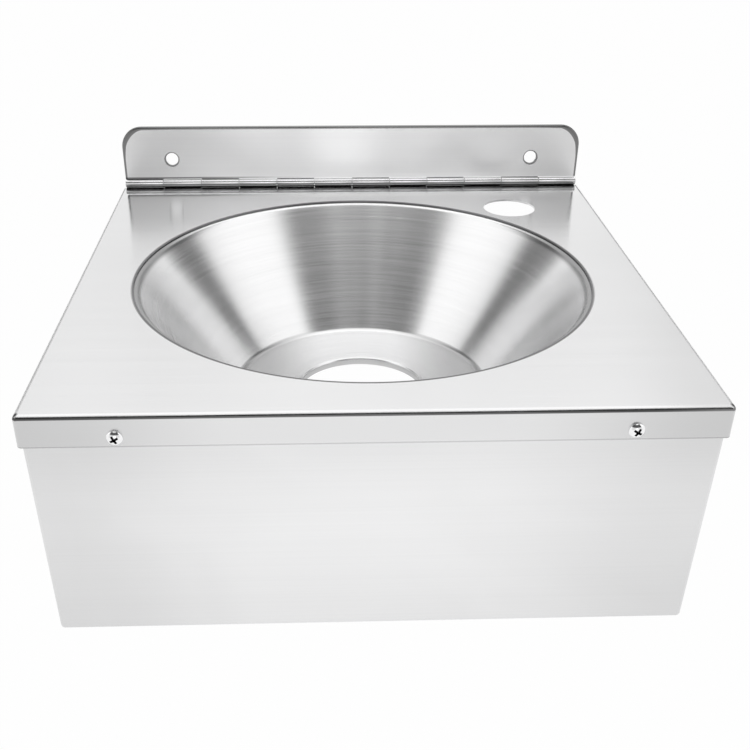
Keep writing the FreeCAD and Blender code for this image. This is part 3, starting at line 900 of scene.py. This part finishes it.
def build_screws():
    tree, size, target = geometry_tree("pan_head_screws", {
        "Head Radius": 0.004, "Head Height": 0.0029, "Head Edge": 0.0009, "Shank Radius": 0.002,
        "Shank Length": 0.012, "Tip": 0.0004, "Recess Span": 0.0044, "Recess Width": 0.001,
        "Recess Depth": 0.0017, "Spacing": 0.25, "Turn Left": 0.0, "Turn Right": 0.0,
        "Finish": "Material",
    })
    head = size["Head Radius"]
    shank_x = minus(tree, size["Shank Radius"], head)
    axis_x = times(tree, head, -1.0)
    crown_y = times(tree, size["Head Height"], -1.0)
    edge_y = times(tree, size["Head Edge"], -1.0)
    dome = made(tree, "GeometryNodeCurveQuadraticBezier", {
        "Resolution": 12, "Start": vector_of(tree, axis_x, crown_y),
        "Middle": vector_of(tree, times(tree, head, -CROWN_FLAT), crown_y),
        "End": vector_of(tree, 0.0, edge_y)})
    tip_x = minus(tree, shank_x, size["Tip"])
    tip_y = minus(tree, size["Shank Length"], size["Tip"])
    body = polyline(tree, [
        (0.0, edge_y), (0.0, 0.0), (shank_x, 0.0), (shank_x, tip_y),
        (tip_x, size["Shank Length"]), (axis_x, size["Shank Length"]),
    ])
    blank = merged(tree, revolved(tree, joined(tree, dome, body), head, 48))

    # The punch: two bars across each other, narrower where they are deep
    position = made(tree, "GeometryNodeInputPosition")
    x, y, z = put(tree, "ShaderNodeSeparateXYZ", {0: position}).outputs
    narrow = math_node(tree, "MULTIPLY_ADD", math_node(tree, "LESS_THAN", z, 0.0), -PUNCH_TAPER, 1.0)
    tall = times(tree, size["Recess Depth"], 2.0)
    bar_size = vector_of(tree, size["Recess Span"], size["Recess Width"], tall)
    bar = made(tree, "GeometryNodeSetPosition", {
        "Geometry": made(tree, "GeometryNodeMeshCube", {"Size": bar_size}),
        "Position": vector_of(tree, times(tree, x, narrow), times(tree, y, narrow), z)})
    cut = put(tree, "GeometryNodeMeshBoolean", {"Mesh 1": blank}, operation="DIFFERENCE", solver="EXACT")
    for quarter in (0.0, math.pi / 2):
        feed(tree, cut.inputs["Mesh 2"], moved(tree, bar, {
            "Rotation": turn_about(tree, (0.0, 0.0, 1.0), quarter),
            "Translation": vector_of(tree, 0.0, 0.0, size["Head Height"])}))

    # Out of the workshop: the axis is laid along Y, head to the front, and each screw gets its turn
    turns = pick(tree, "FLOAT", [size["Turn Left"], size["Turn Right"]])
    ready = moved(tree, cut.outputs["Mesh"], {"Rotation": turn_about(tree, (1.0, 0.0, 0.0), math.pi / 2)})
    places = row_of(tree, 2, times(tree, size["Spacing"], -0.5), size["Spacing"])
    screws = instances(tree, places, ready, {"Rotation": turn_about(tree, (0.0, 1.0, 0.0), turns)})
    return close_tree(tree, screws, size["Finish"], target)


screw_tree = build_screws()
print("tree:", screw_tree.name, "with", len(screw_tree.nodes), "nodes")

# %% [markdown]
# A pan head is bright as rolled, but its cross is black in the photograph, so the recess carries painted
# shade.  The mask for it is the metal near the screw's middle that lies deeper than the crown.  The crown
# falls away with the square of the distance from its middle, so that fall is taken off the depth first.

# %% Screw finish
left_low, left_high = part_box("shroud_screw_left")
right_low, right_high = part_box("shroud_screw_right")
screw_place = Vector((0.0, deck_low.y, (left_low.z + left_high.z) / 2))
screw_spacing = (right_low.x + right_high.x - left_low.x - left_high.x) / 2
RECESS_SPAN = 6.0 * MM
CROWN_FALL = 100.0   # the crown falls by this times the square of the distance, all in metres


def build_screw_steel():
    steel = build_small_steel("screw_bright", (0.92, 0.92, 0.925), 0.08, 900.0, 2500.0, 900.0)
    tree = steel.tree
    place = steel.parts()
    aside = minus(tree, math_node(tree, "ABSOLUTE", place[0]), screw_spacing / 2)
    above = minus(tree, place[2], screw_place.z)
    reach = distance(tree, aside, above)
    inside = ramp(tree, reach, RECESS_SPAN * 0.41, RECESS_SPAN * 0.39)
    squared = times(tree, reach, reach)
    depth = math_node(tree, "MULTIPLY_ADD", squared, -CROWN_FALL, place[1])
    deep = ramp(tree, depth, left_low.y + 0.05 * MM, left_low.y + 0.25 * MM)
    # Painted shade in the cross recess
    steel.darken(steel.all_of(inside, deep), 0.05)
    return steel.finish()


screw_steel = build_screw_steel()
print("screws", round(screw_spacing, 4), "m apart")

# %% Place the screws
screws = grow("flange_screws", screw_tree, {
    "Spacing": screw_spacing, "Head Height": deck_low.y - left_low.y, "Recess Span": RECESS_SPAN,
    "Recess Width": 1.6 * MM, "Recess Depth": 1.9 * MM,
    "Turn Left": math.radians(-29.0), "Turn Right": math.radians(31.0), "Finish": screw_steel,
}, screw_place, sharp_degrees=28.0)
stand_in(screws, "basin", "screw_steel", "shroud_screw_left", "shroud_screw_right")

# %% [markdown]
# ## The wall plate
#
# The plate's top and sides are turned back to the wall over a rolled edge.  The press pushes the
# spare metal of each corner outwards, so the roll is wider there.  A bevel can't do that, so the
# sheet is built in rings: stations follow the outline, and at each one a short section runs from the
# flat face, round the roll, back to the wall and into the hollow behind.  An attribute marks the
# roll for the material.  The two flat faces, with their holes, are filled between the rings.

# %% Plate outline and section
PLATE_CORNER = 15.0 * MM
PLATE_SHEET = 1.2 * MM
ROLL_SIDE = 1.5 * MM
ROLL_CORNER = 3.6 * MM
ROLL_DEPTH = 1.3 * MM
ROLL_SUPPORT = 0.4 * MM   # a ring in the flat face this near to the roll keeps the face's shading flat
HOLE_RADIUS = 5.5 * MM
SIDE_STEPS, CORNER_STEPS, ROLL_STEPS, HOLE_STEPS = 12, 20, 7, 40


def plate_stations():
    """Points on the outline from foot to foot, each with its outward normal and its roll's width."""
    half, top, foot = plate_high.x, plate_high.z, plate_low.z
    left = []
    for step in range(SIDE_STEPS):
        share = step / SIDE_STEPS
        z = foot + (top - PLATE_CORNER - foot) * share
        swell = max(0.0, share * 2.0 - 1.0) ** 2 * 0.5
        left.append((Vector((-half, z)), Vector((-1.0, 0.0)), swell))
    for step in range(CORNER_STEPS + 1):
        share = step / CORNER_STEPS
        angle = math.pi - share * math.pi / 2
        outward = Vector((math.cos(angle), math.sin(angle)))
        middle = Vector((-half + PLATE_CORNER, top - PLATE_CORNER))
        swell = 0.5 + 0.5 * math.sin(math.pi * share)
        left.append((middle + outward * PLATE_CORNER, outward, swell * (1.0 - 0.6 * share ** 3)))
    for corners, swell in ((1.6, 0.1), (2.4, 0.0)):
        left.append((Vector((-half + corners * PLATE_CORNER, top)), Vector((0.0, 1.0)), swell))
    right = [(Vector((-point.x, point.y)), Vector((-outward.x, outward.y)), swell)
             for point, outward, swell in reversed(left)]
    return left + right


def ring_section(roll):
    """The section from face to hollow: inset from the outline, y, and whether it is the roll."""
    face_y, hollow_y = plate_low.y, plate_low.y + PLATE_SHEET
    section = [(roll + ROLL_SUPPORT, face_y, 0.0)]
    for step in range(ROLL_STEPS + 1):
        angle = math.pi / 2 * step / ROLL_STEPS
        depth = ROLL_DEPTH * (1.0 - math.cos(angle))
        section.append((roll * (1.0 - math.sin(angle)), face_y + depth, 1.0))
    return section + [(0.0, 0.0, 1.0), (PLATE_SHEET, 0.0, 0.0), (PLATE_SHEET, hollow_y, 0.0)]


print("the plate's roll is", ROLL_SIDE, "m wide at its sides and up to", ROLL_CORNER, "m at its corners")

# %% [markdown]
# The stations come from the frame's box, so the plate fits it.  Tessellate fills a flat border with
# holes in it.  Its triangles are turned to face out one by one, and the whole shell once more at the
# end.

# %% Build the plate
def flat_with_holes(shape, border, y, towards):
    """Fills a border and two round holes at this y, and returns the holes' rings."""
    rings = []
    for side in (-1, 1):
        ring = []
        for step in range(HOLE_STEPS):
            angle = math.tau * step / HOLE_STEPS
            ring.append(shape.verts.new((side * SCREW_SPACING / 2 + HOLE_RADIUS * math.cos(angle), y,
                                         HOLE_RADIUS * math.sin(angle))))
        rings.append(ring)
    loops = [border] + rings
    corners = [vert for loop in loops for vert in loop]
    for a, b, c in tessellate_polygon([[Vector((v.co.x, v.co.z, 0.0)) for v in loop] for loop in loops]):
        face = shape.faces.new((corners[a], corners[b], corners[c]))
        face.normal_update()
        if face.normal.y * towards < 0:
            face.normal_flip()
    return rings


def build_plate():
    shape = bmesh.new()
    rim = shape.verts.layers.float.new("rim")
    rings = []
    for point, outward, swell in plate_stations():
        ring = []
        for inset, y, marked in ring_section(ROLL_SIDE + (ROLL_CORNER - ROLL_SIDE) * swell):
            place = point - outward * inset
            vert = shape.verts.new((place.x, y, place.y))
            vert[rim] = marked
            ring.append(vert)
        rings.append(ring)
    for ring, following in zip(rings, rings[1:]):
        for a, b, c, d in zip(ring, ring[1:], following[1:], following):
            shape.faces.new((a, b, c, d))
    front_holes = flat_with_holes(shape, [ring[0] for ring in rings], plate_low.y, -1)
    back_holes = flat_with_holes(shape, [ring[-1] for ring in rings], plate_low.y + PLATE_SHEET, 1)
    for front, back in zip(front_holes, back_holes):
        for step in range(HOLE_STEPS):
            following = (step + 1) % HOLE_STEPS
            shape.faces.new((front[step], front[following], back[following], back[step]))
    shape.faces.new(rings[0] + rings[-1][::-1])
    bmesh.ops.recalc_face_normals(shape, faces=shape.faces)
    mesh = bpy.data.meshes.new("rolled_plate")
    shape.to_mesh(mesh)
    shape.free()
    mesh.shade_smooth()
    mesh.set_sharp_from_angle(angle=math.radians(32.0))
    mesh.materials.append(plate_steel)
    print("rolled_plate has", len(mesh.polygons), "faces")
    return new_object("rolled_plate", mesh)


plate_piece = build_plate()
stand_in(plate_piece, "wall_side", "plate_steel", "wall_plate")

# %% [markdown]
# ## The frame's own pieces
#
# The deck, the shroud, the pin and the rivet nuts have the right shape in the frame.  They stay as
# they are, and only their material slots change.

# %% Put the finishes on the frame's own pieces
cad_finishes = {
    "deck": deck_steel, "shroud": shroud_steel, "hinge_pin": pin_steel,
    "rivet_nut_left": nut_steel, "rivet_nut_right": nut_steel,
}
for name, finish in cad_finishes.items():
    for material_slot in nodes[name].material_slots:
        material_slot.material = finish
print("kept from the frame:", sorted(cad_finishes))

# %% [markdown]
# ## The floor
#
# The floor is pale and plain, far enough below for the sink to hang over it.  What the camera sees of
# it, and what metal shows of it, is nearly all plain white.  The rest is the floor's own paint, so
# a little of the sink's shadow stays.

# %% Floor
FLOOR_BELOW = 0.87
FLOOR_HALF = 12.0
PLAIN_WHITE = 0.97


def seen_as_white(tree, *rays):
    """1 for any of these kinds of ray."""
    path = tree.nodes.new("ShaderNodeLightPath").outputs
    seen = path[rays[0]]
    for ray in rays[1:]:
        seen = math_node(tree, "MAXIMUM", seen, path[ray])
    return seen


def build_floor_paint():
    paint = bpy.data.materials.new("pale_floor")
    paint.use_nodes = True
    tree = paint.node_tree
    bsdf = tree.nodes["Principled BSDF"]
    bsdf.inputs["Base Color"].default_value = (0.9, 0.9, 0.9, 1.0)
    bsdf.inputs["Roughness"].default_value = 1.0
    white = made(tree, "ShaderNodeEmission", {"Strength": 1.0})
    seen = seen_as_white(tree, "Is Camera Ray", "Is Glossy Ray", "Is Transmission Ray")
    mix = made(tree, "ShaderNodeMixShader", {
        0: times(tree, seen, PLAIN_WHITE), 1: bsdf.outputs[0], 2: white})
    feed(tree, tree.nodes["Material Output"].inputs["Surface"], mix)
    return paint


floor_z = deck_top - FLOOR_BELOW
corners = [(x * FLOOR_HALF, y * FLOOR_HALF, floor_z) for x, y in ((-1, -1), (1, -1), (1, 1), (-1, 1))]
floor_mesh = bpy.data.meshes.new("floor")
floor_mesh.from_pydata(corners, [], [(0, 1, 2, 3)])
floor_mesh.materials.append(build_floor_paint())
floor = new_object("floor", floor_mesh)
print("floor at", round(floor_z, 4))

# %% [markdown]
# ## The studio
#
# Steel shows what surrounds it, so the studio matters more than for any other material.  It is white
# all round, with patches in it that give the bowl its bands.  A dark ceiling piece high in front
# makes the broad dark band behind, and two slits in it lighten that band.  A light in front and a
# greyer space on each side of it show in the wall plate and the deck.  A dark gap and a far gap on
# each side make the narrow bands at left and right.  The patches were placed by working back from
# the reflections in the photographed bowl.  A streak of noise keeps them from being quite even.
#
# Rays from the camera, and through glass, see plain white instead.

# %% World
world = bpy.data.worlds.new("studio")
bpy.context.scene.world = world
world.use_nodes = True
sky = world.node_tree
background = sky.nodes["Background"]
direction = sky.nodes.new("ShaderNodeTexCoord").outputs["Generated"]
side, back, up = put(sky, "ShaderNodeSeparateXYZ", {0: direction}).outputs
to_degrees = math.degrees(1.0)
azimuth = math_node(sky, "ARCTAN2", side, times(sky, back, -1.0))
azimuth = times(sky, azimuth, to_degrees)
elevation = times(sky, math_node(sky, "ARCSINE", up), to_degrees)


def patch(around, over):
    """1 between the inner two of four azimuths and of four elevations, 0 outside the outer two."""
    kept = []
    for value, (start, full, last, end) in ((azimuth, around), (elevation, over)):
        kept += [ramp(sky, value, start, full), ramp(sky, value, end, last)]
    return times(sky, times(sky, kept[0], kept[1]), times(sky, kept[2], kept[3]))


# Name, four azimuths from left to right with 0 straight in front, four elevations from low to high,
# all in degrees, and the share of light that is taken away, or added where it is negative
STUDIO = (
    ("ceiling piece", (-65, -59, 50, 57), (21, 31, 57, 64), 0.92),
    ("slit in it, right", (12, 17, 24, 29), (20, 30, 62, 70), -0.6),
    ("slit in it, left", (-21, -17, -14, -10), (20, 30, 62, 70), -0.6),
    ("light in front", (-17, -8, 9, 18), (-2, 4, 17, 22), -0.45),
    ("space in front, right", (3, 18, 45, 65), (-12, 2, 24, 36), 0.22),
    ("space in front, left", (-65, -45, -15, 0), (-12, 2, 24, 36), 0.22),
    ("gap at the right", (104, 109, 127, 133), (-10, 0, 46, 58), 0.86),
    ("gap at the left", (-138, -132, -112, -106), (-10, 0, 46, 58), 0.86),
    ("far gap, right", (142, 149, 158, 165), (-24, -14, 10, 22), 0.85),
    ("far gap, left", (-165, -158, -149, -142), (-24, -14, 10, 22), 0.85),
)
STREAK = 0.05
level = 1.0
for name, around, over, taken in STUDIO:
    kept = math_node(sky, "MULTIPLY_ADD", patch(around, over), -taken, 1.0)
    kept.node.label = name
    level = times(sky, kept, level)
streak = made(sky, "ShaderNodeTexNoise", {"W": azimuth, "Detail": 3.0, "Scale": 0.12},
              noise_dimensions="1D")
level = math_node(sky, "ADD", level, ramp(sky, streak, 0.3, 0.7, -STREAK, STREAK, False))
seen = seen_as_white(sky, "Is Camera Ray", "Is Transmission Ray")
strength = made(sky, "ShaderNodeMix", {0: seen, 2: level, 3: 1.0}, data_type="FLOAT")
feed(sky, background.inputs["Strength"], strength)
background.inputs["Color"].default_value = (1.0, 1.0, 1.0, 1.0)
print("studio patches:", [name for name, *_ in STUDIO])

# %% [markdown]
# ## The lamps
#
# Four large soft boxes stand at the sides, behind and above, and look at the bowl.  The world gives
# most of the light, so they are weak.  A lamp's energy is worked out from its radiance and its area,
# so that its size can change without its brightness.

# %% Lamps
LAMP_DISTANCE = 2.0
LAMP_WIDTH = 1.8
# Name, azimuth and elevation in degrees, height in metres, radiance
LAMPS = (
    ("soft_box_left", -84, 38, 1.2, 0.16),
    ("soft_box_right", 80, 38, 1.2, 0.16),
    ("soft_box_back", 180, 62, 1.2, 0.3),
    ("soft_box_above", 0, 88, 0.9, 0.2),
)


def soft_box(name, around, over, height, radiance):
    """A rectangular lamp that looks at the bowl."""
    turn, lift = math.radians(around), math.radians(over)
    away = Vector((math.sin(turn) * math.cos(lift), -math.cos(turn) * math.cos(lift), math.sin(lift)))
    light = bpy.data.lights.new(name, "AREA")
    light.shape = "RECTANGLE"
    light.size = LAMP_WIDTH
    light.size_y = height
    light.energy = radiance * LAMP_WIDTH * height * math.pi
    lamp = new_object(name, light)
    lamp.location = Vector(bowl_place) + away * LAMP_DISTANCE
    lamp.rotation_euler = away.to_track_quat("Z", "Y").to_euler()


for lamp_values in LAMPS:
    soft_box(*lamp_values)
print("lamps:", [name for name, *_ in LAMPS])

# %% [markdown]
# ## The camera
#
# The camera stands where a plain pinhole camera has to, for the sink's edges to fall where the
# photograph has them.  Its place is given from the middle of the sink's back, on the deck's height,
# and three directions give its turn.  The photograph is cropped, so its middle isn't quite where the
# lens points, and the camera's shift makes up for that.

# %% Camera
CAMERA_PLACE = Vector((-28.3, -748.3, 237.8)) * MM + Vector((0.0, 0.0, deck_top))
CAMERA_RIGHT = Vector((0.99942, -0.03385, 0.00364))
CAMERA_DOWN = Vector((-0.01454, -0.52098, -0.85344))
CAMERA_AHEAD = Vector((0.03079, 0.8529, -0.52117))
FOCAL_PIXELS = 1015.0
PICTURE_PIXELS = 750.0
PICTURE_MIDDLE = (349.05, 433.82)
camera_data = bpy.data.cameras.new("camera")
camera_data.sensor_width = 36.0
camera_data.lens = FOCAL_PIXELS / PICTURE_PIXELS * camera_data.sensor_width
camera_data.shift_x = (PICTURE_PIXELS / 2 - PICTURE_MIDDLE[0]) / PICTURE_PIXELS
camera_data.shift_y = (PICTURE_MIDDLE[1] - PICTURE_PIXELS / 2) / PICTURE_PIXELS
camera = new_object("camera", camera_data)
turn = Matrix((CAMERA_RIGHT, -CAMERA_DOWN, -CAMERA_AHEAD)).transposed()
camera.matrix_world = Matrix.Translation(CAMERA_PLACE) @ turn.to_4x4()
bpy.context.scene.camera = camera
bpy.context.scene.view_settings.view_transform = "Standard"
print("camera", round((CAMERA_PLACE - Vector(bowl_place)).length, 3), "m from the bowl")
